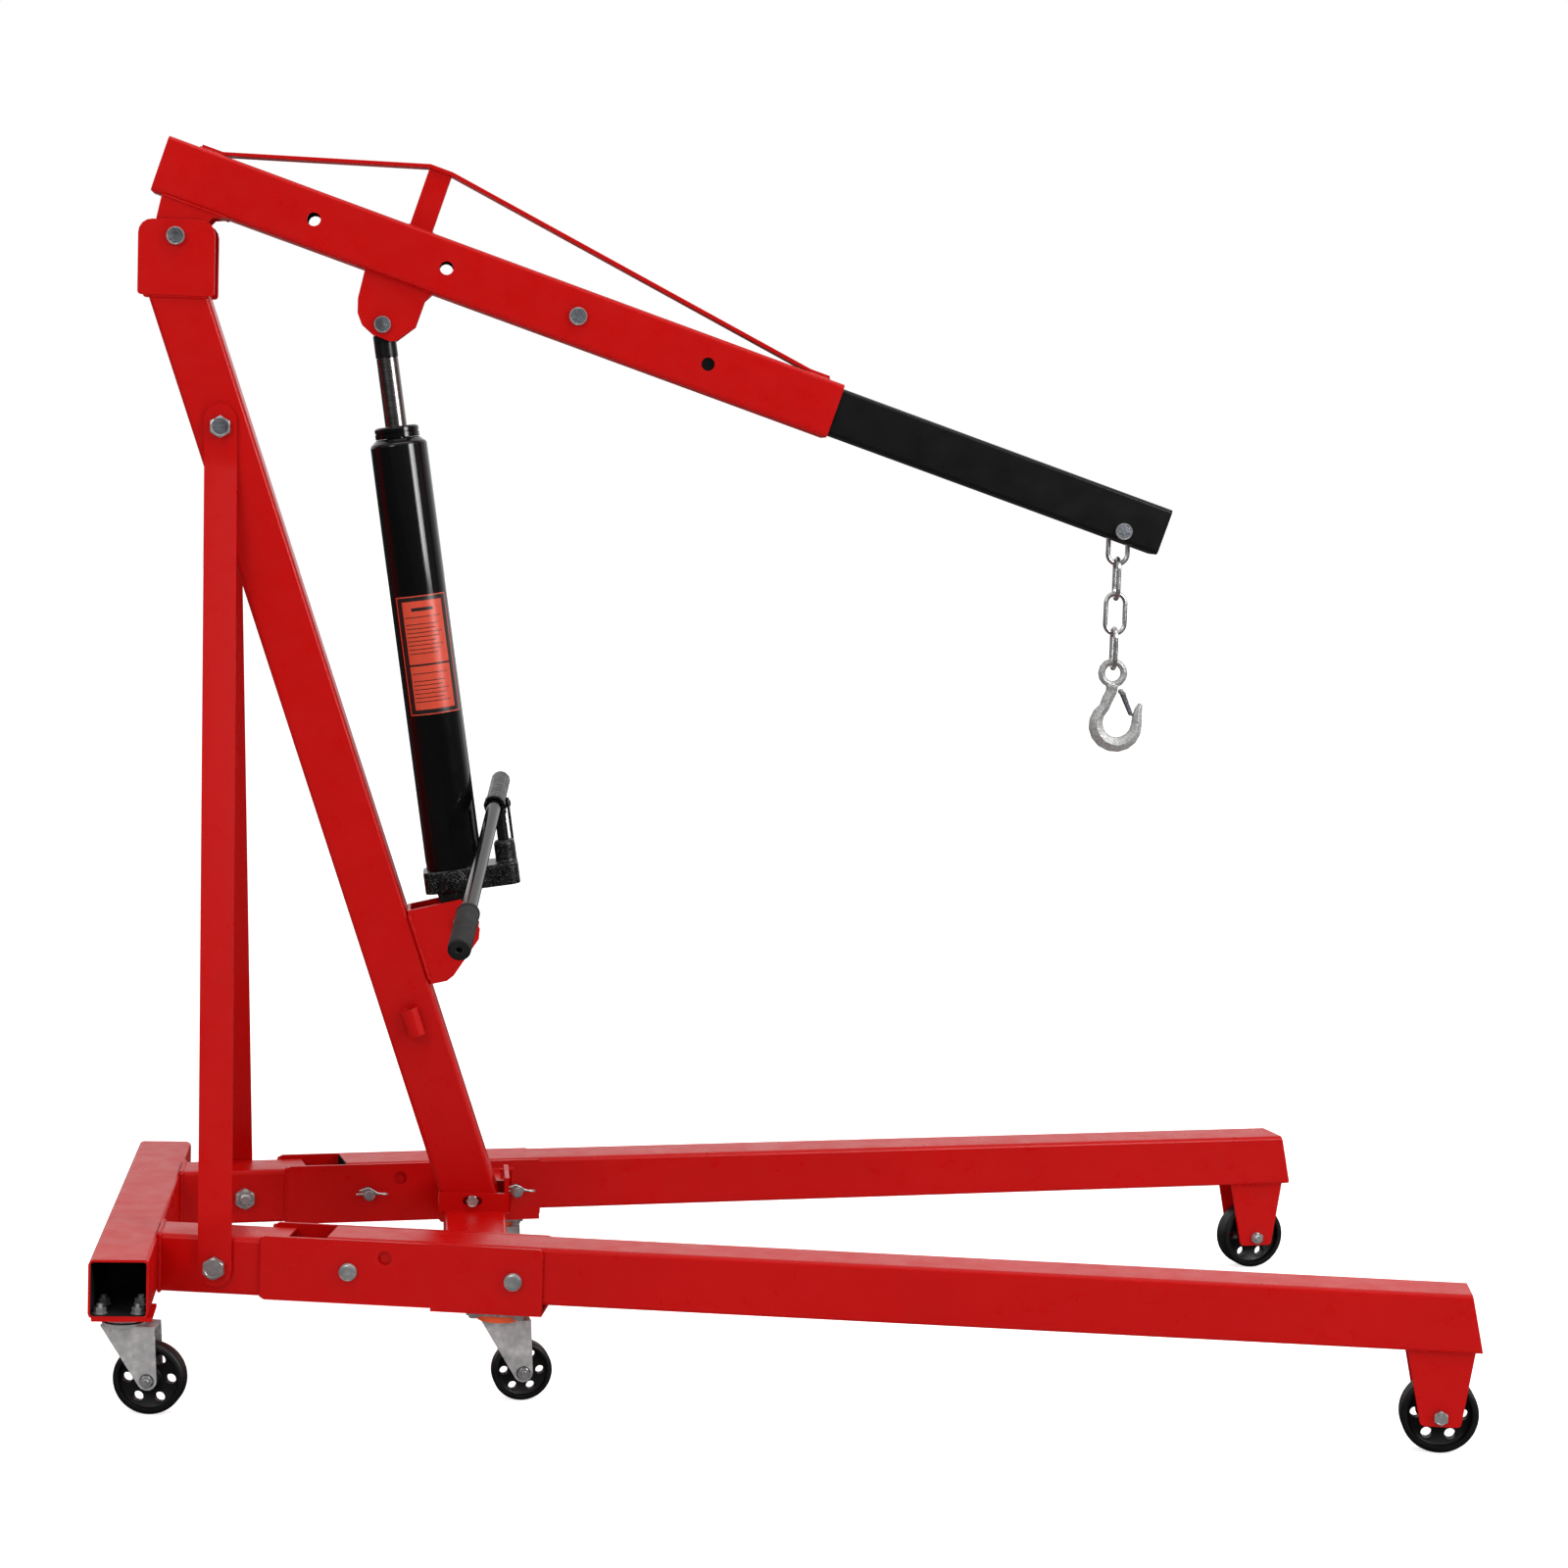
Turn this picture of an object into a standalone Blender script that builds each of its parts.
"""Folding two-ton engine hoist: square-tube base with swivel casters, folding legs, leaning mast,
telescopic boom with chain and hook, and a hand-pumped ram jack.

World frame: +X forward (leg tips), +Y to the left, +Z up, z = 0 on the floor, y = 0 in the hoist's
middle plane, x = 0 half way between the rear face and the leg tips. Metres throughout.
"""
from math import asin, atan2, cos, degrees, hypot, pi, radians, sin, sqrt, tan

import bmesh
import bpy
from mathutils import Matrix, Vector

# ---------------------------------------------------------------- driving dimensions
GAP = 0.0003                     # air left between touching pieces
TUBE = 0.070                     # square tube of crossbeam, legs, mast and boom
WALL = 0.003
CORNER = 0.006                   # outer corner radius of the square tubes

SPLAY = radians(10.7)            # each leg turns outward by this much
PIVOT_FROM_REAR = 0.306          # leg hinge pin, measured from the rear face
PIVOT_Y = 0.219
PIVOT_Z = 0.157
LEG_REACH = 1.346                # hinge pin to leg tip, along the leg's underside
TIP_SLANT = 0.015                # how far the top of the tip stands back
LEG_TAIL = 0.028                 # leg behind its hinge pin
LEG_BOTTOM = 0.126

REAR_X = -(PIVOT_FROM_REAR + LEG_REACH * cos(SPLAY) + TUBE / 2 * sin(SPLAY)) / 2

BEAM_BOTTOM = 0.120              # crossbeam and leg stubs
BEAM_HALF = 0.344
SOCKET_TUBE = 0.071              # stub between the side plates, a little wider than the leg
SIDE_PLATE = 0.00425
PLATE_REAR, PLATE_FRONT = -0.107, 0.235
PLATE_BOTTOM, PLATE_TOP = 0.1175, 0.195
STUB_END = -0.079
LOCK_REACH, LOCK_Z = 0.1997, 0.155
STORE_REACH, STORE_Z = 0.044, 0.1755
STRUT_FOOT_REACH, STRUT_FOOT_Z = -0.1625, 0.154

MEMBER_REAR, MEMBER_FRONT = 0.414, 0.490     # cross member, from the rear face
MEMBER_BOTTOM, MEMBER_TOP = 0.123, 0.183
FOOT_PLATE = 0.006

MAST_LEAN = radians(18.85)
MAST_FOOT_FROM_REAR = 0.4490
MAST_FOOT_Z = MEMBER_TOP + FOOT_PLATE + GAP
MAST_LENGTH = 1.221
HEAD_REAR, HEAD_FRONT = 0.014, 0.107         # mast head plates, from the rear face
HEAD_BOTTOM, HEAD_TOP = 1.319, 1.411
HEAD_PLATE = 0.005
STRUT_TOP_Z = 1.161
STRUT_WIDTH, STRUT_THICK = 0.040, 0.006

BOOM_PIVOT_FROM_REAR, BOOM_PIVOT_Z = 0.0595, 1.391
BOOM_PITCH = radians(18.0)       # boom slopes down to the front
BOOM_LENGTH = 0.884
BOOM_REAR = -0.0472              # boom's rear end in the boom frame, whose origin is the pivot
BOOM_AXIS_Z = 0.0773             # boom's centre line above the pivot
BOOM_WALL = 0.004
HOLE_PITCH, FIRST_HOLE = 0.172, 0.197
EXTENSION = 0.060
EXTENSION_WALL = 0.004
EXTENSION_OUT = 0.450            # what shows of the extension
EXTENSION_LENGTH = 0.850
TIP_BOLT_BACK, TIP_BOLT_DOWN = 0.0514, 0.017
RAM_PIN_U, RAM_PIN_N = 0.3175, -0.0919       # ram pin from the boom's rear end and centre line

JACK_PIN_FROM_REAR, JACK_PIN_Z = 0.427, 0.550
CYLINDER_R = 0.0355
CYLINDER_BOTTOM, CYLINDER_TOP = 0.0683, 0.6115
GLAND_TOP = 0.6265
RAM_R = 0.0135

PIN_R = 0.0078
PIN_BORE = 0.0085

LINK_WIRE = 0.0035               # radius of the chain's wire
LINK_LENGTH, LINK_WIDTH = 0.0590, 0.033

REAR_WHEEL_R, MIDDLE_WHEEL_R, FRONT_WHEEL_R = 0.0427, 0.0363, 0.046
FRONT_AXLE_REACH = 1.302

ROUND = 20                       # sides of a large round piece
SMALL_ROUND = 12                 # sides of a pin, bore or knob


# ---------------------------------------------------------------- scene and materials
def clear_scene():
    for item in list(bpy.data.objects):
        bpy.data.objects.remove(item, do_unlink=True)


def collection(name):
    made = bpy.data.collections.new(name)
    bpy.context.scene.collection.children.link(made)
    return made


clear_scene()
PARTS = collection("engine_hoist_crane")
CUTTERS = collection("cutters")


def material(name, colour, roughness, metallic=0.0):
    made = bpy.data.materials.new(name)
    made.use_nodes = True
    shader = made.node_tree.nodes["Principled BSDF"]
    shader.inputs["Base Color"].default_value = (*colour, 1.0)
    shader.inputs["Roughness"].default_value = roughness
    shader.inputs["Metallic"].default_value = metallic
    made.diffuse_color = (*colour, 1.0)
    return made


RED = material("red_paint", (0.56, 0.006, 0.005), 0.30)
BLACK = material("black_paint", (0.012, 0.012, 0.013), 0.22)
CAST = material("cast_iron_black", (0.015, 0.015, 0.016), 0.45)
ZINC = material("bright_zinc", (0.62, 0.61, 0.60), 0.32, 1.0)
CHROME = material("chrome", (0.55, 0.54, 0.54), 0.10, 1.0)
RUBBER = material("black_rubber", (0.020, 0.020, 0.020), 0.60)


# ---------------------------------------------------------------- frames
def frame(x, y, z, turn_y=0.0, turn_z=0.0):
    return Matrix.Translation((x, y, z)) @ Matrix.Rotation(turn_z, 4, "Z") @ Matrix.Rotation(turn_y, 4, "Y")


def leg_frame(side):
    """Origin under the leg's hinge pin on the floor, +X along the leg."""
    return frame(REAR_X + PIVOT_FROM_REAR, side * PIVOT_Y, 0.0, turn_z=side * SPLAY)


WORLD = Matrix.Identity(4)
BASE = frame(REAR_X, 0.0, 0.0)
MAST = frame(REAR_X + MAST_FOOT_FROM_REAR, 0.0, MAST_FOOT_Z, turn_y=-MAST_LEAN)
BOOM = frame(REAR_X + BOOM_PIVOT_FROM_REAR, 0.0, BOOM_PIVOT_Z, turn_y=BOOM_PITCH)
TIP_BOLT = BOOM @ Vector((BOOM_REAR + BOOM_LENGTH + EXTENSION_OUT - TIP_BOLT_BACK, 0.0,
                          BOOM_AXIS_Z - TIP_BOLT_DOWN))
RAM_PIN_LOCAL = Vector((BOOM_REAR + RAM_PIN_U, 0.0, BOOM_AXIS_Z + RAM_PIN_N))
RAM_PIN = BOOM @ RAM_PIN_LOCAL
JACK_PIN = Vector((REAR_X + JACK_PIN_FROM_REAR, 0.0, JACK_PIN_Z))
JACK_TILT = atan2(JACK_PIN.x - RAM_PIN.x, RAM_PIN.z - JACK_PIN.z)
JACK_REACH = (RAM_PIN - JACK_PIN).length
JACK = frame(JACK_PIN.x, 0.0, JACK_PIN.z, turn_y=-JACK_TILT)


# ---------------------------------------------------------------- outlines
def arc(cx, cy, radius, start, end, steps):
    """Points on an arc, both ends included; angles in degrees."""
    angles = [radians(start + (end - start) * i / steps) for i in range(steps + 1)]
    return [(cx + radius * cos(a), cy + radius * sin(a)) for a in angles]


def circle(cx, cy, radius, sides=SMALL_ROUND):
    return arc(cx, cy, radius, 0, 360 * (sides - 1) / sides, sides - 1)


def rounded_box(x0, x1, y0, y1, radius, steps=2):
    return (arc(x1 - radius, y1 - radius, radius, 0, 90, steps)
            + arc(x0 + radius, y1 - radius, radius, 90, 180, steps)
            + arc(x0 + radius, y0 + radius, radius, 180, 270, steps)
            + arc(x1 - radius, y0 + radius, radius, 270, 360, steps))


def tube_loops(size, wall, centre_z=0.0, corner=CORNER):
    half = size / 2
    inner = half - wall
    return [rounded_box(-half, half, centre_z - half, centre_z + half, corner),
            rounded_box(-inner, inner, centre_z - inner, centre_z + inner, max(corner - wall, 0.001))]


def tapered(x0, x1, top, cx, cy, radius, steps=6):
    """A plate that is wide at the top and rounded about (cx, cy) at the bottom."""
    def touch(px, turn):
        dx, dy = px - cx, top - cy
        distance = hypot(dx, dy)
        return atan2(dy, dx) + turn * (pi / 2 - asin(min(1.0, radius / distance)))
    left = touch(x0, 1.0) * 180 / pi
    right = touch(x1, -1.0) * 180 / pi
    return [(x1, top), (x0, top)] + arc(cx, cy, radius, left, right + 360, steps)


def footed(x0, x1, top, cx, half, foot, corner):
    """A plate that narrows from its top to a flat foot with rounded corners, centred on cx."""
    left = degrees(atan2(cx - half - x0, top - foot))
    right = degrees(atan2(x1 - cx - half, top - foot))
    return ([(x1, top), (x0, top)]
            + arc(cx - half + corner, foot + corner, corner, 180 + left, 270, 3)
            + arc(cx + half - corner, foot + corner, corner, 270, 360 - right, 3))


# ---------------------------------------------------------------- solids
def link(name, mesh, place, paint, target=None):
    made = bpy.data.objects.new(name, mesh)
    (target or PARTS).objects.link(made)
    made.matrix_world = place
    mesh.materials.clear()
    mesh.materials.append(paint)
    return made


def clean(mesh, move=None, merge=0.00001):
    work = bmesh.new()
    work.from_mesh(mesh)
    if move is not None:
        work.transform(move)
    bmesh.ops.remove_doubles(work, verts=work.verts, dist=merge)
    bmesh.ops.recalc_face_normals(work, faces=work.faces)
    work.to_mesh(mesh)
    work.free()


def smooth(made, angle=35):
    made.data.shade_smooth()
    made.data.set_sharp_from_angle(angle=radians(angle))
    return made


def freeze(source, name, move=None):
    """The evaluated mesh of a curve or a modified object, welded; the source is removed."""
    bpy.context.view_layer.update()
    graph = bpy.context.evaluated_depsgraph_get()
    mesh = bpy.data.meshes.new_from_object(source.evaluated_get(graph))
    mesh.name = name
    data = source.data
    bpy.data.objects.remove(source, do_unlink=True)
    if isinstance(data, bpy.types.Curve):
        bpy.data.curves.remove(data)
    clean(mesh, move)
    return mesh


AXIS_TURN = {
    "Z": Matrix.Identity(4),
    "Y": Matrix.Rotation(pi / 2, 4, "X"),
    "X": Matrix(((0, 0, 1, 0), (1, 0, 0, 0), (0, 1, 0, 0), (0, 0, 0, 1))),
}


def prism(name, loops, axis, low, high, place, paint, target=None):
    """Outline loops (holes after the outer one) extruded from low to high along an axis.
    The loops are (y, z) for X, (x, z) for Y and (x, y) for Z."""
    curve = bpy.data.curves.new(name, "CURVE")
    curve.dimensions = "2D"
    curve.fill_mode = "BOTH"
    curve.extrude = (high - low) / 2
    for loop in loops:
        spline = curve.splines.new("POLY")
        spline.points.add(len(loop) - 1)
        for point, (a, b) in zip(spline.points, loop):
            point.co = (a, b, 0.0, 1.0)
        spline.use_cyclic_u = True
    source = bpy.data.objects.new(name, curve)
    PARTS.objects.link(source)
    middle = Vector([(low + high) / 2 if axis == letter else 0.0 for letter in "XYZ"])
    mesh = freeze(source, name, Matrix.Translation(middle) @ AXIS_TURN[axis])
    return link(name, mesh, place, paint, target)


def block(name, low, high, place, paint, target=None):
    work = bmesh.new()
    bmesh.ops.create_cube(work, size=1.0)
    size = Vector(high) - Vector(low)
    centre = (Vector(high) + Vector(low)) / 2
    work.transform(Matrix.Translation(centre) @ Matrix.Diagonal((*size, 1.0)))
    mesh = bpy.data.meshes.new(name)
    work.to_mesh(mesh)
    work.free()
    return link(name, mesh, place, paint, target)


def turned(name, profile, axis, centre, place, paint, steps=ROUND, target=None):
    """A profile of (radius, height) points, outer side top to bottom, turned about an axis."""
    mesh = bpy.data.meshes.new(name)
    mesh.from_pydata([(r, 0.0, h) for r, h in profile], [(i, i + 1) for i in range(len(profile) - 1)], [])
    if profile[0][0] > 0.0 and profile[-1][0] > 0.0:
        work = bmesh.new()
        work.from_mesh(mesh)
        work.verts.ensure_lookup_table()
        work.edges.new((work.verts[-1], work.verts[0]))
        work.to_mesh(mesh)
        work.free()
    source = bpy.data.objects.new(name, mesh)
    PARTS.objects.link(source)
    turn = source.modifiers.new("turn", "SCREW")
    turn.axis = "Z"
    turn.angle = 2 * pi
    turn.steps = turn.render_steps = steps
    turn.use_merge_vertices = True
    turn.merge_threshold = 0.00001
    frozen = freeze(source, name, Matrix.Translation(centre) @ AXIS_TURN[axis])
    return smooth(link(name, frozen, place, paint, target))


def lofted(name, sections, axis, centre, place, paint, sides=ROUND, target=None):
    """Rings along an axis, each (height, radius) or (height, half across flats, "hex")."""
    work = bmesh.new()
    rings = []
    for section in sections:
        ring = []
        for i in range(sides):
            angle = 2 * pi * i / sides
            radius = section[1]
            if len(section) == 3:
                radius /= cos((angle % (pi / 3)) - pi / 6)
            ring.append(work.verts.new((radius * cos(angle), radius * sin(angle), section[0])))
        rings.append(ring)
    for lower, upper in zip(rings, rings[1:]):
        for i in range(sides):
            j = (i + 1) % sides
            work.faces.new((lower[i], lower[j], upper[j], upper[i]))
    work.faces.new(rings[0][::-1])
    work.faces.new(rings[-1])
    mesh = bpy.data.meshes.new(name)
    work.to_mesh(mesh)
    work.free()
    clean(mesh, Matrix.Translation(centre) @ AXIS_TURN[axis])
    return smooth(link(name, mesh, place, paint, target))


def rod(name, radius, axis, low, high, centre, place, paint, sides=SMALL_ROUND, target=None):
    return lofted(name, [(low, radius), (high, radius)], axis, centre, place, paint, sides, target)


def wire(name, points, radius, place, paint, cyclic=False, radii=None, resolution=2, target=None):
    """A round wire along points."""
    curve = bpy.data.curves.new(name, "CURVE")
    curve.dimensions = "3D"
    curve.bevel_depth = radius
    curve.bevel_resolution = resolution
    curve.use_fill_caps = not cyclic
    spline = curve.splines.new("POLY")
    spline.points.add(len(points) - 1)
    for i, (point, co) in enumerate(zip(spline.points, points)):
        point.co = (*co, 1.0)
        point.radius = radii[i] if radii else 1.0
    spline.use_cyclic_u = cyclic
    source = bpy.data.objects.new(name, curve)
    PARTS.objects.link(source)
    return smooth(link(name, freeze(source, name), place, paint, target), 60)


def boolean(body, other, operation):
    step = body.modifiers.new(operation.lower(), "BOOLEAN")
    step.operation = operation
    step.solver = "EXACT"
    step.object = other
    if other.name not in CUTTERS.objects:
        for owner in list(other.users_collection):
            owner.objects.unlink(other)
        CUTTERS.objects.link(other)
    other.hide_render = True
    other.display_type = "WIRE"
    return body


def cut(body, *cutters):
    for cutter in cutters:
        boolean(body, cutter, "DIFFERENCE")
    return body


def weld(body, *others):
    for other in others:
        boolean(body, other, "UNION")
    return body


def bore(name, radius, axis, low, high, centre, place):
    return rod(name + "_bore", radius, axis, low, high, centre, place, CAST, target=CUTTERS)


# ---------------------------------------------------------------- base
SIDES = {"left": 1, "right": -1}
CASTER_PLATE = 0.070
REAR_CASTER_X, REAR_CASTER_Y = 0.039, 0.309
REAR_PLATE_BOTTOM = 0.1165
MIDDLE_CASTER_REACH = 0.178
MIDDLE_PLATE_BOTTOM = 0.1100
FLOOR_BOTTOM, FLOOR_REAR = 0.1135, 0.100


def rear_crossbeam():
    centre_z = BEAM_BOTTOM + TUBE / 2
    loops = [[(x + TUBE / 2, z) for x, z in loop] for loop in tube_loops(TUBE, WALL, centre_z)]
    beam = prism("rear_crossbeam", loops, "Y", -BEAM_HALF, BEAM_HALF, BASE, RED)
    half = CASTER_PLATE / 2
    for side in SIDES.values():
        y = side * REAR_CASTER_Y
        weld(beam, block("rear_caster_plate", (REAR_CASTER_X - half, y - half, REAR_PLATE_BOTTOM),
                         (REAR_CASTER_X + half, y + half, BEAM_BOTTOM + 0.001), BASE, ZINC))


def leg_socket(label, side):
    """Stub tube with two side plates welded on, which hold the folding leg, and a caster floor."""
    place = leg_frame(side)
    name = label + "_leg_socket"
    centre_z = BEAM_BOTTOM + TUBE / 2
    socket = prism(name, tube_loops(SOCKET_TUBE, WALL, centre_z), "X", -0.290, STUB_END, place, RED)
    cut(socket, block(name + "_mitre", (-0.2, -0.6, 0.0), (TUBE + GAP, 0.6, 0.3), BASE, RED, CUTTERS),
        bore(name + "_strut", 0.0082, "Y", -0.08, 0.08, (STRUT_FOOT_REACH, 0.0, STRUT_FOOT_Z), place))
    inner = SOCKET_TUBE / 2
    pivot, lock, store = (0.0, PIVOT_Z), (LOCK_REACH, LOCK_Z), (STORE_REACH, STORE_Z)
    for direction in (1, -1):
        outline = rounded_box(PLATE_REAR, PLATE_FRONT, PLATE_BOTTOM, PLATE_TOP, 0.005)
        holes = [circle(x, z, PIN_BORE) for x, z in (pivot, lock, store)]
        faces = sorted((direction * (inner - 0.00025), direction * (inner + SIDE_PLATE)))
        weld(socket, prism(name + "_plate", [outline] + holes, "Y", *faces, place, RED))
    outer = inner + SIDE_PLATE
    weld(socket, block(name + "_floor", (FLOOR_REAR, -outer + 0.0005, FLOOR_BOTTOM),
                       (PLATE_FRONT - 0.0005, outer - 0.0005, PLATE_BOTTOM + 0.001), place, RED))
    half = CASTER_PLATE / 2
    weld(socket, block(name + "_caster_plate", (MIDDLE_CASTER_REACH - half, -half, MIDDLE_PLATE_BOTTOM),
                       (MIDDLE_CASTER_REACH + half, half, FLOOR_BOTTOM + 0.001), place, ZINC))


def cross_member():
    """Box tube between the two sockets, with the mast's foot bracket welded on top."""
    member = prism("cross_member", [rounded_box(MEMBER_REAR, MEMBER_FRONT, MEMBER_BOTTOM, MEMBER_TOP, 0.004),
                                    rounded_box(MEMBER_REAR + WALL, MEMBER_FRONT - WALL,
                                                MEMBER_BOTTOM + WALL, MEMBER_TOP - WALL, 0.002)],
                   "Y", -0.26, 0.26, BASE, RED)
    reach = SOCKET_TUBE / 2 + SIDE_PLATE + GAP
    for label, side in SIDES.items():
        near, far = sorted((-side * reach, side * 0.2))
        cut(member, block(label + "_trim", (-0.1, near, 0.05), (0.4, far, 0.3), leg_frame(side), RED, CUTTERS))
    rear, front, top = MEMBER_REAR - 0.008, MEMBER_FRONT + 0.005, MEMBER_TOP + FOOT_PLATE
    cheek = 0.042
    weld(member, block("foot_plate", (rear, -cheek, MEMBER_TOP - 0.001), (front, cheek, top), BASE, RED))
    for direction in (1, -1):
        low, high = sorted((direction * 0.036, direction * cheek))
        slot = rounded_box(0.436, 0.461, 0.1915, 0.2015, 0.0045)
        weld(member, prism("foot_cheek", [rounded_box(rear, front, top - 0.001, 0.206, 0.0004, 1), slot],
                           "Y", low, high, BASE, RED))
    weld(member, block("foot_upstand", (front - 0.006, -cheek + 0.0005, top - 0.001),
                       (front - 0.0002, cheek - 0.0005, 0.226), BASE, RED))


def mast():
    column = prism("mast_column", tube_loops(TUBE, WALL), "Z", -0.05, MAST_LENGTH, MAST, RED)
    cut(column, block("mast_foot_trim", (0.2, -0.1, 0.05), (0.7, 0.1, MAST_FOOT_Z), BASE, RED, CUTTERS),
        bore("mast_strut", 0.0085, "Y", -0.06, 0.06, strut_bolt_local(), MAST))
    outer, inner = 0.011, 0.0092
    holder_z = 0.249
    centre_y = -(TUBE / 2 + GAP + outer)
    prism("handle_holder", [circle(0.0, centre_y, outer), circle(0.0, centre_y, inner)], "Z",
          holder_z - 0.018, holder_z + 0.018, MAST, RED)
    for label, side in SIDES.items():
        low, high = sorted((side * (TUBE / 2 + GAP), side * (TUBE / 2 + GAP + HEAD_PLATE)))
        bend, foot = 0.017, 0.004
        outline = (arc(HEAD_FRONT - bend, HEAD_TOP - bend, bend, 0, 90, 4)
                   + arc(HEAD_REAR + bend, HEAD_TOP - bend, bend, 90, 180, 4)
                   + arc(HEAD_REAR + foot, HEAD_BOTTOM + foot, foot, 180, 270, 2)
                   + arc(HEAD_FRONT - foot, HEAD_BOTTOM + foot, foot, 270, 360, 2))
        hole = circle(BOOM_PIVOT_FROM_REAR, BOOM_PIVOT_Z, PIN_BORE)
        prism("mast_head_plate_" + label, [outline, hole], "Y", low, high, BASE, RED)


def strut_bolt_local():
    """The strut's top bolt, where the mast's axis is at STRUT_TOP_Z."""
    return Vector((0.0, 0.0, (STRUT_TOP_Z - MAST_FOOT_Z) / cos(MAST_LEAN)))


def hex_bolt(name, half_flat, shank, head, tail, head_high, nut_high, centre, place, axis="Y"):
    """Bolt and nut: the head's seat is at `head` and the nut's seat at `tail` on the axis."""
    way = 1 if head > tail else -1
    sections = [(head + way * head_high, half_flat * 0.90, "hex"),
                (head + way * head_high * 0.8, half_flat, "hex"), (head, half_flat, "hex"), (head, shank),
                (tail, shank), (tail, half_flat, "hex"), (tail - way * nut_high, half_flat, "hex"),
                (tail - way * nut_high, shank), (tail - way * (nut_high + 0.004), shank * 0.8)]
    # the "Y" turn maps a height h to y = -h
    flipped = [(-s[0], *s[1:]) for s in sections] if axis == "Y" else sections
    return lofted(name, flipped, axis, centre, place, ZINC, 12)


def strut(label, side):
    """Flat bar from the mast's side down to the stub's outer side, flat at both ends."""
    top = MAST @ strut_bolt_local()
    place = leg_frame(side)
    face = side * (SOCKET_TUBE / 2 + GAP + STRUT_THICK / 2)
    foot = place @ Vector((STRUT_FOOT_REACH, face, STRUT_FOOT_Z))
    top_y = side * (TUBE / 2 + GAP + STRUT_THICK / 2)
    half = STRUT_WIDTH / 2
    top_end, foot_end = STRUT_TOP_Z + 0.029, STRUT_FOOT_Z - 0.024
    bend_top, bend_foot = 1.118, 0.206
    across = [half * sin(radians(a)) for a in (-90, -60, -30, 0, 30, 60, 90)]
    levels = [foot_end, STRUT_FOOT_Z, bend_foot - 0.006, bend_foot + 0.010,
              bend_top - 0.010, bend_top + 0.006, STRUT_TOP_Z, top_end]
    work = bmesh.new()
    rows = []
    for level in levels:
        row = []
        for off in across:
            z = level
            if level == foot_end:
                z = foot_end + half - sqrt(max(half * half - off * off, 0.0))
            if level == top_end:
                z = top_end - half + sqrt(max(half * half - off * off, 0.0))
            share = (z - foot.z) / (top.z - foot.z)
            x = foot.x + (top.x - foot.x) * share + off
            lean = min(max((level - bend_foot) / (bend_top - bend_foot), 0.0), 1.0)
            flat_foot = foot.y + side * (x - foot.x) * tan(SPLAY)
            y = flat_foot + (top_y - flat_foot) * lean
            row.append(work.verts.new((x, y, z)))
        rows.append(row)
    for lower, upper in zip(rows, rows[1:]):
        for i in range(len(across) - 1):
            work.faces.new((lower[i], lower[i + 1], upper[i + 1], upper[i]))
    mesh = bpy.data.meshes.new(label + "_strut")
    work.to_mesh(mesh)
    work.free()
    bar = link(label + "_strut", mesh, WORLD, RED)
    thick = bar.modifiers.new("thickness", "SOLIDIFY")
    thick.thickness = STRUT_THICK
    thick.offset = 0.0
    cut(bar, bore(label + "_strut_top", 0.0085, "Y", -0.2, 0.2, (top.x, 0.0, top.z), WORLD),
        bore(label + "_strut_foot", 0.0085, "Y", -0.1, 0.1, (STRUT_FOOT_REACH, 0.0, STRUT_FOOT_Z), place))
    inner, outer = SOCKET_TUBE / 2 + GAP, SOCKET_TUBE / 2 + GAP + STRUT_THICK + 0.0008
    hex_bolt(label + "_strut_bolt", 0.012, 0.0075, side * outer, -side * inner, 0.009, 0.010,
             (STRUT_FOOT_REACH, 0.0, STRUT_FOOT_Z), place)


def strut_top_bolt():
    seat = TUBE / 2 + 2 * GAP + STRUT_THICK + 0.0008
    top = MAST @ strut_bolt_local()
    hex_bolt("strut_top_bolt", 0.012, 0.0075, -seat, seat, 0.009, 0.010, (top.x, 0.0, top.z), WORLD)


def boom_pivot_bolt():
    seat = TUBE / 2 + 2 * GAP + HEAD_PLATE
    hex_bolt("boom_pivot_bolt", 0.012, PIN_R, -seat, seat, 0.009, 0.010,
             (BOOM_PIVOT_FROM_REAR, 0.0, BOOM_PIVOT_Z), BASE)


def jack_bracket():
    """Two ears on the mast's front face, joined by the strip that is welded to it."""
    outline = [(0.3695, 0.564), (0.425, 0.580), (0.438, 0.5625), (0.450, 0.543), (0.449, 0.530),
               (0.4185, 0.483), (0.410, 0.476), (0.3945, 0.4715)]
    lean = tan(MAST_LEAN)
    face = GAP / cos(MAST_LEAN)
    front = TUBE / 2 / cos(MAST_LEAN) + face
    axis_x = MAST_FOOT_FROM_REAR + MAST_FOOT_Z * lean      # where the mast's axis would meet z = 0
    outline = [(max(x, axis_x - z * lean + front), z) for x, z in outline]
    outline[0] = (axis_x - 0.564 * lean + front, 0.564)
    outline[-1] = (axis_x - 0.4715 * lean + front, 0.4715)
    hole = circle(JACK_PIN_FROM_REAR, JACK_PIN_Z, PIN_BORE)
    bracket = prism("jack_bracket", [outline, hole], "Y", -0.035, 0.035, BASE, RED)
    strip = 0.004 / cos(MAST_LEAN)
    slot = [(axis_x - z * lean + front + strip, z) for z in (0.44, 0.60)]
    pocket = slot + [(0.50, 0.60), (0.50, 0.44)]
    cut(bracket, prism("bracket_pocket", [pocket], "Y", -0.030, 0.030, BASE, RED, CUTTERS))
    sections = [(-0.0420, 0.0095), (-0.0355, 0.0110), (-0.0353, PIN_R), (0.0400, PIN_R), (0.0420, PIN_R * 0.8)]
    lofted("jack_base_pin", [(-h, r) for h, r in sections], "Y",
           (JACK_PIN_FROM_REAR, 0.0, JACK_PIN_Z), BASE, ZINC, SMALL_ROUND)


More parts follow.
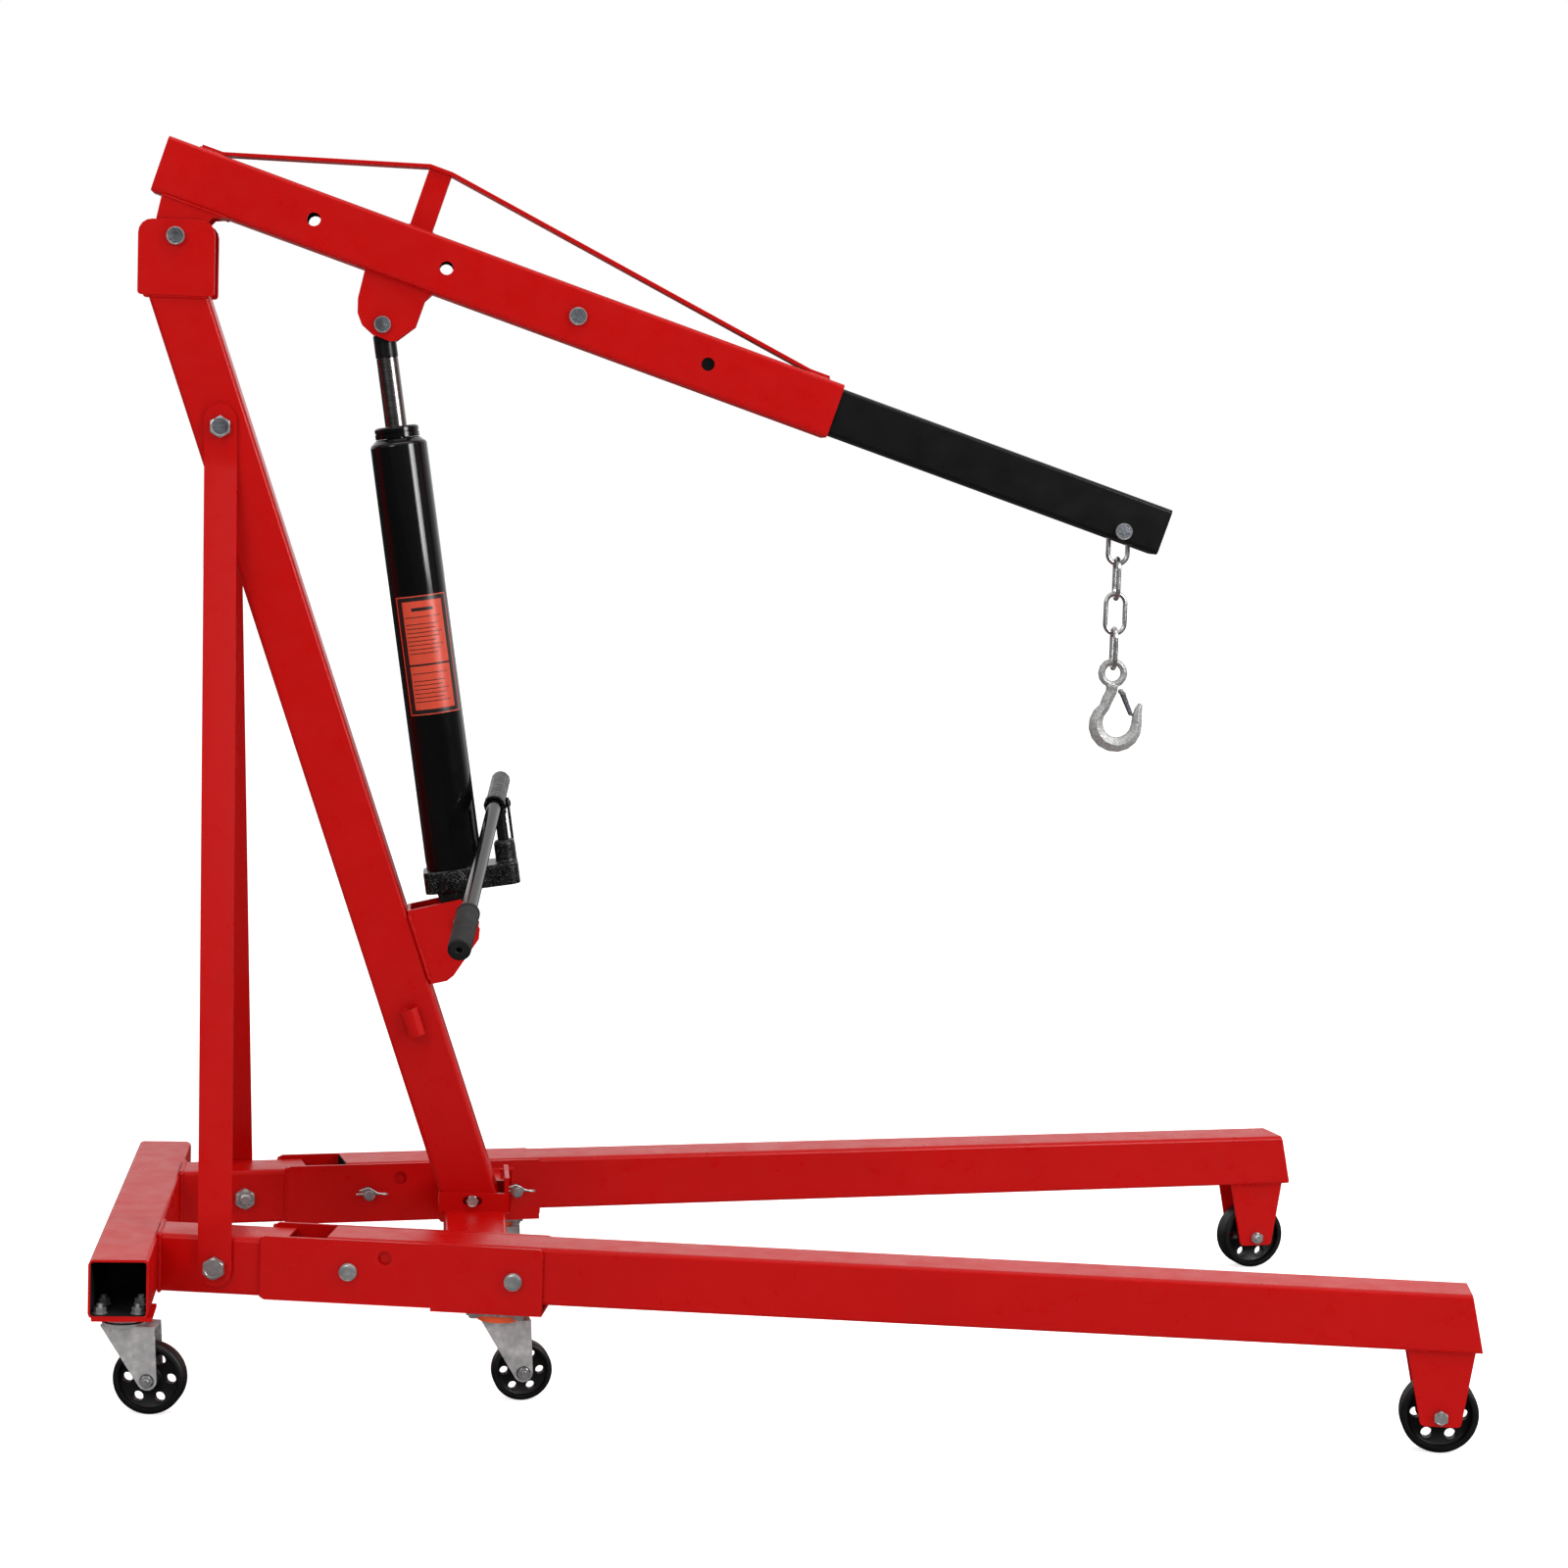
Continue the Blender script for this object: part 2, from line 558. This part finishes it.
# ---------------------------------------------------------------- pins of the folding legs
def spring_clip(name, y, way, centre, place):
    """R-shaped wire clip through a pin's tail: a straight leg and a waved leg."""
    x, z = centre
    points = [(x - 0.017, y, z), (x + 0.020, y, z), (x + 0.024, y + way * 0.003, z),
              (x + 0.023, y + way * 0.006, z), (x + 0.010, y + way * 0.0085, z + 0.003),
              (x - 0.002, y + way * 0.0085, z + 0.009), (x - 0.014, y + way * 0.0085, z + 0.006)]
    return wire(name, points, 0.0013, place, ZINC, resolution=1, target=CUTTERS)


def leg_pins(label, side):
    place = leg_frame(side)
    plate = SOCKET_TUBE / 2 + SIDE_PLATE
    leg_face = TUBE / 2 + GAP
    tail_end = plate + 0.019
    head = [(plate + 0.0065, 0.0075), (plate + 0.0055, 0.0100), (plate + 0.0035, 0.0108), (plate + GAP, 0.0108)]
    tail = [(plate + 0.0165, PIN_R), (tail_end, PIN_R * 0.75)]

    def pin(name, x, z, stations):
        return lofted(name, [(-h, r) for h, r in stations], "Y", (x, 0.0, z), place, ZINC, SMALL_ROUND)

    outward = [(side * h, r) for h, r in head]
    inward = [(-side * h, r) for h, r in tail]
    pivot = pin(label + "_leg_pivot_pin", 0.0, PIVOT_Z, outward + [(side * (plate + GAP), PIN_R)] + inward)
    clip_y = -side * (plate + 0.009)
    weld(pivot, spring_clip(label + "_pivot_clip", clip_y, -side, (0.0, PIVOT_Z), place))
    pin(label + "_lock_pin", LOCK_REACH, LOCK_Z,
        outward + [(side * (plate + GAP), PIN_R), (side * leg_face, PIN_R)])
    stub = pin(label + "_lock_pin_clip", LOCK_REACH, LOCK_Z, [(-side * leg_face, PIN_R)] + inward)
    weld(stub, spring_clip(label + "_lock_clip", clip_y, -side, (LOCK_REACH, LOCK_Z), place))


# ---------------------------------------------------------------- legs and wheels
def leg(label, side):
    place = leg_frame(side)
    name = label + "_leg"
    half, top = TUBE / 2, LEG_BOTTOM + TUBE
    inner = half - WALL
    body = prism(name, [rounded_box(-half, half, LEG_BOTTOM, top, CORNER)], "X", -LEG_TAIL, LEG_REACH,
                 place, RED)
    slant = [(LEG_REACH + 0.0001, LEG_BOTTOM - 0.02), (LEG_REACH + 0.0001, LEG_BOTTOM),
             (LEG_REACH - TIP_SLANT, top), (LEG_REACH - TIP_SLANT, top + 0.02),
             (LEG_REACH + 0.05, top + 0.02), (LEG_REACH + 0.05, LEG_BOTTOM - 0.02)]
    cavity = [rounded_box(-inner, inner, LEG_BOTTOM + WALL, top - WALL, 0.003)]
    cut(body, prism(name + "_slant", [slant], "Y", -0.05, 0.05, place, RED, CUTTERS),
        prism(name + "_cavity", cavity, "X", -0.05, LEG_REACH - 0.025, place, RED, CUTTERS),
        bore(name + "_pivot", PIN_BORE, "Y", -0.06, 0.06, (0.0, 0.0, PIVOT_Z), place),
        bore(name + "_lock", PIN_BORE, "Y", -0.06, 0.06, (LOCK_REACH, 0.0, LOCK_Z), place))
    axle = (FRONT_AXLE_REACH, FRONT_WHEEL_R)
    for direction in (1, -1):
        low, high = sorted((direction * 0.0200, direction * 0.0245))
        outline = footed(1.259, 1.339, LEG_BOTTOM + 0.0015, axle[0], 0.0245, FRONT_WHEEL_R - 0.0115, 0.006)
        weld(body, prism(name + "_fork", [outline, circle(*axle, 0.0065)], "Y", low, high, place, RED))
    seat = 0.0245 + GAP
    hex_bolt(label + "_front_axle", 0.009, 0.0060, side * seat, -side * seat, 0.006, 0.007,
             (axle[0], 0.0, axle[1]), place)
    wheel(label + "_front_wheel", FRONT_WHEEL_R, 0.032, 0.0390, 0.0064,
          place @ Matrix.Translation((axle[0], 0.0, axle[1])), RUBBER, holes=6)


def wheel(name, radius, tread, hub, bore_radius, place, paint, holes=0):
    """Solid wheel: rounded tread, recessed web, wider hub. It stands on a flat of its tread."""
    flats = 20
    half_step = pi / flats
    outer = radius / cos(half_step)
    half, web = tread / 2, tread * 0.30
    rim, hub_radius = radius * 0.80, radius * 0.30
    profile = [(bore_radius, hub / 2), (hub_radius, hub / 2), (hub_radius, web), (rim, web), (rim, half),
               (outer - 0.004, half), (outer, half - 0.006), (outer, -half + 0.006),
               (outer - 0.004, -half), (rim, -half), (rim, -web), (hub_radius, -web),
               (hub_radius, -hub / 2), (bore_radius, -hub / 2)]
    standing = place @ Matrix.Rotation(half_step, 4, "Y")
    body = turned(name, profile, "Y", (0.0, 0.0, 0.0), standing, paint, steps=flats)
    for i in range(holes):
        angle = 2 * pi * i / holes
        centre = (radius * 0.60 * cos(angle), 0.0, radius * 0.60 * sin(angle))
        cut(body, rod("wheel_hole", radius * 0.145, "Y", -0.03, 0.03, centre, standing, paint, 6, CUTTERS))
    return body


def caster(label, place, plate_bottom, radius, trail, swing):
    """Swivel fork with its axle, and the wheel. `place` is on the swivel axis at floor height."""
    turned_place = place @ Matrix.Rotation(swing, 4, "Z")
    top = plate_bottom - GAP
    race = 0.009
    outline = tapered(-0.024, trail + 0.008, top - race, trail, radius, 0.0115)
    fork = prism(label + "_caster_fork", [outline], "Y", -0.0190, 0.0190, turned_place, ZINC)
    slot = block(label + "_fork_slot", (-0.1, -0.0160, -0.02), (0.1, 0.0160, top - race - 0.003),
                 turned_place, ZINC, CUTTERS)
    cut(fork, slot)
    race_profile = [(0.0, top), (0.026, top), (0.028, top - 0.003), (0.024, top - race - 0.002),
                    (0.0, top - race - 0.002)]
    weld(fork, turned(label + "_race", race_profile, "Z", (0.0, 0.0, 0.0), turned_place, ZINC, 18))
    half_axle = 0.0190
    axle = [(-half_axle - 0.0065, 0.0040), (-half_axle - 0.0055, 0.0050), (-half_axle - 0.0055, 0.0065, "hex"),
            (-half_axle + 0.001, 0.0065, "hex"), (-half_axle + 0.001, 0.0040),
            (half_axle - 0.001, 0.0040), (half_axle - 0.001, 0.0065, "hex"), (half_axle + 0.004, 0.0065, "hex")]
    weld(fork, lofted(label + "_axle", axle, "Y", (trail, 0.0, radius), turned_place, ZINC, 12))
    wheel(label + "_caster_wheel", radius, 0.024, 0.0305, 0.0044,
          turned_place @ Matrix.Translation((trail, 0.0, radius)), RUBBER, holes=6)


def casters():
    for label, side in SIDES.items():
        rear = BASE @ Matrix.Translation((REAR_CASTER_X, side * REAR_CASTER_Y, 0.0))
        caster("rear_" + label, rear, REAR_PLATE_BOTTOM, REAR_WHEEL_R, 0.032, side * radians(8))
        middle = BASE @ Matrix.Translation((leg_frame(side).translation.x - REAR_X
                                            + MIDDLE_CASTER_REACH * cos(SPLAY),
                                            side * (PIVOT_Y + MIDDLE_CASTER_REACH * sin(SPLAY)), 0.0))
        caster("middle_" + label, middle, MIDDLE_PLATE_BOTTOM, MIDDLE_WHEEL_R, 0.028, side * radians(-6))


# ---------------------------------------------------------------- boom
def boom_tube():
    """Square boom with four pin holes and the pivot lug under its rear end."""
    end = BOOM_REAR + BOOM_LENGTH
    boom = prism("boom_tube", tube_loops(TUBE, BOOM_WALL, BOOM_AXIS_Z), "X", BOOM_REAR, end, BOOM, RED)
    underside = BOOM_AXIS_Z - TUBE / 2
    lug = [(-0.033, underside + 0.002), (-0.0300, 0.013)] + arc(0.0, 0.0, 0.024, 195, 385, 8)
    lug += [(0.034, underside - 0.006), (0.052, underside + 0.002)]
    lug_block = prism("boom_pivot_lug", [lug[::-1]], "Y", -0.033, 0.033, BOOM, RED, CUTTERS)
    weld(boom, lug_block)
    pocket = block("lug_pocket", (-0.06, -0.027, -0.05), (0.09, 0.027, underside - 0.0025), BOOM, RED, CUTTERS)
    cut(boom, pocket, bore("lug", PIN_BORE, "Y", -0.05, 0.05, (0.0, 0.0, 0.0), BOOM))
    for i in range(4):
        u = BOOM_REAR + FIRST_HOLE + i * HOLE_PITCH
        cut(boom, bore("boom_hole", PIN_BORE, "Y", -0.05, 0.05, (u, 0.0, BOOM_AXIS_Z), BOOM))


def boom_strap():
    """Flat truss bar over a short post, welded along the boom's top."""
    seat = BOOM_AXIS_Z + TUBE / 2 + GAP
    thick, rise = 0.0045, 0.0745
    stations = [(0.040, 0.0), (0.066, 0.0), (0.3085, rise), (0.3375, rise), (0.838, 0.0), (0.864, 0.0)]
    path = [(BOOM_REAR + u, seat + n) for u, n in stations]
    outline = path + [(u, n + thick) for u, n in reversed(path)]
    strap = prism("boom_strap", [outline], "Y", -0.019, 0.019, BOOM, RED)
    post = (BOOM_REAR + 0.3085, BOOM_REAR + 0.3375)
    weld(strap, block("strap_post", (post[0], -0.013, seat), (post[1], 0.013, seat + rise + 0.002), BOOM, RED))


def jack_lug():
    """U-shaped bracket under the boom that takes the ram's eye."""
    under = -TUBE / 2 - GAP
    stations = [(0.275, under), (0.2785, -0.072), (0.284, -0.089), (0.293, -0.100), (0.311, -0.1075),
                (0.333, -0.1085), (0.340, -0.105), (0.3567, -0.080), (0.357, -0.046), (0.363, under)]
    outline = [(BOOM_REAR + u, BOOM_AXIS_Z + n) for u, n in stations]
    pin = (RAM_PIN_LOCAL.x, RAM_PIN_LOCAL.z)
    lug = prism("jack_lug", [outline, circle(*pin, PIN_BORE)], "Y", -0.0235, 0.0235, BOOM, RED)
    cut(lug, block("jack_lug_pocket", (0.1, -0.0185, -0.1), (0.4, 0.0185, BOOM_AXIS_Z + under - 0.004),
                   BOOM, RED, CUTTERS))
    for name, way in (("ram_pin_head", -1), ("ram_pin_nut", 1)):
        stations = [(0.0187, PIN_R), (0.0238, PIN_R), (0.0238, 0.0109), (0.0290, 0.0109), (0.0300, 0.0098)]
        lofted(name, [(-way * h, r) for h, r in stations], "Y", (pin[0], 0.0, pin[1]), BOOM, ZINC, SMALL_ROUND)


def boom_pin():
    u = BOOM_REAR + FIRST_HOLE + 2 * HOLE_PITCH
    stations = [(0.0305, PIN_R), (0.0353, PIN_R), (0.0353, 0.0112), (0.0385, 0.0112), (0.0410, 0.0085)]
    lofted("boom_pin", stations, "Y", (u, 0.0, BOOM_AXIS_Z), BOOM, ZINC, SMALL_ROUND)


def boom_extension():
    """Inner tube, pinned in the boom's third hole, with the slot that the chain hangs through."""
    end = BOOM_REAR + BOOM_LENGTH + EXTENSION_OUT
    tube = prism("boom_extension", tube_loops(EXTENSION, EXTENSION_WALL, BOOM_AXIS_Z, 0.005), "X",
                 end - EXTENSION_LENGTH, end, BOOM, BLACK)
    u = end - TIP_BOLT_BACK
    n = BOOM_AXIS_Z - TIP_BOLT_DOWN
    half_slot = 0.037
    slot = rounded_box(u - half_slot, u + half_slot, -0.0065, 0.0065, 0.006)
    cut(tube, bore("extension_pin", PIN_BORE, "Y", -0.05, 0.05,
                   (BOOM_REAR + FIRST_HOLE + 2 * HOLE_PITCH, 0.0, BOOM_AXIS_Z), BOOM),
        bore("extension_tip", 0.0065, "Y", -0.05, 0.05, (u, 0.0, n), BOOM),
        prism("extension_slot", [slot], "Z", BOOM_AXIS_Z - 0.05, BOOM_AXIS_Z - 0.02, BOOM, RED, CUTTERS))
    seat = EXTENSION / 2 + GAP
    hex_bolt("tip_bolt", 0.0090, 0.0060, -seat, seat, 0.007, 0.008, (u, 0.0, n), BOOM)


# ---------------------------------------------------------------- chain and hook
def chain_link(name, centre_z, plane):
    """Stadium-shaped link; `plane` is the world axis that its width lies along."""
    bend = LINK_WIDTH / 2 - LINK_WIRE
    straight = LINK_LENGTH / 2 - LINK_WIDTH / 2
    loop = arc(0.0, straight, bend, 0, 180, 6) + arc(0.0, -straight, bend, 180, 360, 6)
    place = Matrix.Translation((TIP_BOLT.x, 0.0, centre_z))
    points = [(a, 0.0, b) if plane == "X" else (0.0, a, b) for a, b in loop]
    return wire(name, points, LINK_WIRE, place, ZINC, cyclic=True, resolution=1)


def chain():
    """Four links hung on the tip bolt, each a wire's width below the one above, and the hook."""
    reach = LINK_LENGTH / 2 - LINK_WIRE              # centre of a link to the middle of its end wire
    drop = 2 * (LINK_WIRE + GAP / 2)
    top = TIP_BOLT.z + 0.0060 + GAP + LINK_WIRE
    for i in range(4):
        centre = top - reach
        chain_link("chain_link_%d" % (i + 1), centre, "X" if i % 2 == 0 else "Y")
        bottom = centre - reach
        top = bottom + drop
    hook(top)


def hook(top):
    """Eye, neck and bowl in one forging. `top` is the middle of the eye's upper wire."""
    wire_radius = 0.0050
    eye_radius = 0.0147
    eye_z = top - eye_radius + (wire_radius - LINK_WIRE)
    place = Matrix.Translation((TIP_BOLT.x, 0.0, eye_z))
    eye = [(x, 0.0, z) for x, z in circle(0.0, 0.0, eye_radius, 14)]
    neck = [(0.0, -0.0160), (-0.001, -0.0245), (-0.0055, -0.0335)]
    bowl = arc(0.0070, -0.0655, 0.0267, 128, 360, 11)
    tip = [(0.0340, -0.0560), (0.0355, -0.0460), (0.0380, -0.0385)]
    points = [(x, 0.0, z) for x, z in neck + bowl + tip]
    thick = [0.0085, 0.0078, 0.0078] + [0.0074 + 0.0036 * sin(pi * i / 11) for i in range(12)]
    thick += [0.0070, 0.0054, 0.0030]
    body = wire("lifting_hook", points, 1.0, place, ZINC, radii=thick, resolution=1)
    weld(body, wire("hook_eye", eye, wire_radius, place, ZINC, cyclic=True, resolution=1, target=CUTTERS))
    latch(place)


def latch(place):
    """Sprung safety latch between the neck and the inside of the point."""
    pivot = Vector((0.0130, 0.0, -0.0240))
    end = Vector((0.0255, 0.0, -0.0525))
    span = (end - pivot).length
    turn = atan2(end.x - pivot.x, pivot.z - end.z)
    latch_place = place @ Matrix.Translation(pivot) @ Matrix.Rotation(-turn, 4, "Y")
    outline = tapered(-0.0030, 0.0030, 0.0025, 0.0, -span, 0.0020, 4)
    prism("hook_latch", [outline], "Y", -0.0060, 0.0060, latch_place, ZINC)


# ---------------------------------------------------------------- jack
PUMP_X, PUMP_Y = 0.066, -0.012
FULCRUM = Vector((0.0708, 0.034, 0.1360))


def jack_base():
    lug = [(-0.026, 0.042), (-0.018, 0.0)] + arc(0.0, 0.0, 0.018, 195, 345, 6) + [(0.018, 0.0), (0.026, 0.042)]
    base = prism("jack_base", [lug, circle(0.0, 0.0, PIN_BORE)], "Y", -0.027, 0.027, JACK, CAST)
    footprint = rounded_box(-0.040, 0.080, -0.036, 0.036, 0.012, 3)
    weld(base, prism("jack_base_block", [footprint], "Z", 0.040, 0.068, JACK, CAST))
    tower = [(0.0, 0.096), (0.011, 0.096), (0.0135, 0.092), (0.0135, 0.060), (0.0, 0.060)]
    weld(base, turned("pump_tower", tower, "Z", (PUMP_X, PUMP_Y, 0.0), JACK, CAST))
    valve = (-0.0025, 0.0, 0.0535)
    weld(base, rod("valve_boss", 0.0135, "Y", 0.035, 0.041, valve, JACK, CAST))
    for way in (1, -1):
        low, high = sorted((way * 0.0048, way * 0.0085))
        post = [(0.024, 0.060), (0.044, 0.060)] + arc(FULCRUM.y, FULCRUM.z, 0.0080, -10, 190, 6)
        weld(base, prism("fulcrum_ear", [post], "X", FULCRUM.x + low, FULCRUM.x + high, JACK, CAST))
    weld(base, rod("fulcrum_pin", 0.0035, "X", -0.0105, 0.0105, FULCRUM, JACK, CAST, 12))
    cut(base, bore("pump", 0.0078, "Z", 0.045, 0.12, (PUMP_X, PUMP_Y, 0.0), JACK),
        bore("valve", 0.0072, "Y", 0.020, 0.05, valve, JACK))
    knob = [(0.022, 0.0068), (0.0415, 0.0068), (0.0415, 0.0100), (0.0520, 0.0100), (0.0535, 0.0085)]
    lofted("release_valve", knob, "Y", valve, JACK, ZINC, SMALL_ROUND)


def jack_cylinder():
    bore_r = RAM_R + 0.0008
    profile = [(bore_r, CYLINDER_TOP), (0.0275, CYLINDER_TOP), (0.0320, CYLINDER_TOP - 0.003),
               (0.0350, CYLINDER_TOP - 0.010), (CYLINDER_R, CYLINDER_TOP - 0.018),
               (CYLINDER_R, CYLINDER_BOTTOM), (0.0, CYLINDER_BOTTOM)]
    profile = [(0.0, 0.110), (bore_r, 0.110)] + profile
    turned("jack_cylinder", profile, "Z", (0.0, 0.0, 0.0), JACK, BLACK)
    nut = [(bore_r, GLAND_TOP), (0.0255, GLAND_TOP), (0.0278, GLAND_TOP - 0.003),
           (0.0278, CYLINDER_TOP + GAP), (bore_r, CYLINDER_TOP + GAP)]
    turned("jack_gland_nut", nut, "Z", (0.0, 0.0, 0.0), JACK, BLACK)


def ram():
    fitting = JACK_REACH - 0.040
    lofted("ram_rod", [(0.205, RAM_R - 0.001), (0.207, RAM_R), (fitting - GAP, RAM_R)], "Z",
           (0.0, 0.0, 0.0), JACK, CHROME)
    neck = 0.0140
    top = JACK_REACH
    eye = prism("ram_eye", [arc(0.0, top, 0.0165, -50, 230, 12)
                            + [(-0.0105, top - 0.020), (0.0105, top - 0.020)],
                            circle(0.0, top, PIN_BORE)], "Y", -0.0150, 0.0150, JACK, BLACK)
    weld(eye, rod("ram_neck", neck, "Z", fitting, top - 0.0125, (0.0, 0.0, 0.0), JACK, BLACK, ROUND))


HANDLE_LENGTH = 0.4626
SOCKET_MOUTH = Vector((0.464, -0.045, 0.700))
HANDLE_END = Vector((0.4192, -0.490, 0.5818))


def handle_frame():
    """Origin at the socket's mouth, +Z along the handle towards its grip."""
    way = (HANDLE_END - SOCKET_MOUTH).normalized()
    turn = way.to_track_quat("Z", "X").to_matrix().to_4x4()
    return Matrix.Translation(SOCKET_MOUTH + Vector((REAR_X, 0.0, 0.0))) @ turn


def pump():
    place = handle_frame()
    outer, inner, depth = 0.0122, 0.0096, 0.078
    profile = [(inner, 0.0), (outer + 0.0016, 0.0), (outer + 0.0016, -0.010), (outer, -0.012),
               (outer, -0.096), (outer - 0.002, -0.098), (0.0, -0.098)]
    profile = [(0.0, -depth), (inner, -depth)] + profile
    socket = turned("handle_socket", profile, "Z", (0.0, 0.0, 0.0), place, CAST, SMALL_ROUND)
    tongue = arc(FULCRUM.y, FULCRUM.z, 0.0075, 180, 360, 6)
    tongue += [(FULCRUM.y + 0.0075, FULCRUM.z + 0.022), (FULCRUM.y - 0.0075, FULCRUM.z + 0.018)]
    weld(socket, prism("socket_tongue", [tongue], "X", FULCRUM.x - 0.0042, FULCRUM.x + 0.0042, JACK, CAST))
    cut(socket, bore("tongue", 0.0041, "X", -0.01, 0.01, FULCRUM, JACK))
    bar_r = 0.0090
    lofted("pump_handle", [(-0.072, bar_r - 0.001), (-0.070, bar_r), (HANDLE_LENGTH - 0.010, bar_r)], "Z",
           (0.0, 0.0, 0.0), place, BLACK, SMALL_ROUND)
    grip_r, start = 0.0135, HANDLE_LENGTH - 0.110
    sleeve = [(0.0, HANDLE_LENGTH), (grip_r - 0.002, HANDLE_LENGTH), (grip_r, HANDLE_LENGTH - 0.003),
              (grip_r, start + 0.006), (grip_r - 0.002, start), (bar_r + GAP, start),
              (bar_r + GAP, HANDLE_LENGTH - 0.0095), (0.0, HANDLE_LENGTH - 0.0095)]
    turned("handle_grip", sleeve, "Z", (0.0, 0.0, 0.0), place, RUBBER, SMALL_ROUND)
    plunger_top = 0.1350
    lofted("pump_plunger", [(0.052, 0.0070), (plunger_top - 0.008, 0.0070), (plunger_top - 0.006, 0.0085),
                            (plunger_top - 0.002, 0.0085), (plunger_top, 0.0060)], "Z",
           (PUMP_X, PUMP_Y, 0.0), JACK, CHROME, SMALL_ROUND)


# ---------------------------------------------------------------- assembly
def build():
    rear_crossbeam()
    cross_member()
    mast()
    strut_top_bolt()
    boom_pivot_bolt()
    jack_bracket()
    for label, side in SIDES.items():
        leg_socket(label, side)
        strut(label, side)
        leg_pins(label, side)
        leg(label, side)
    casters()
    boom_tube()
    boom_strap()
    jack_lug()
    boom_pin()
    boom_extension()
    chain()
    jack_base()
    jack_cylinder()
    ram()
    pump()


build()
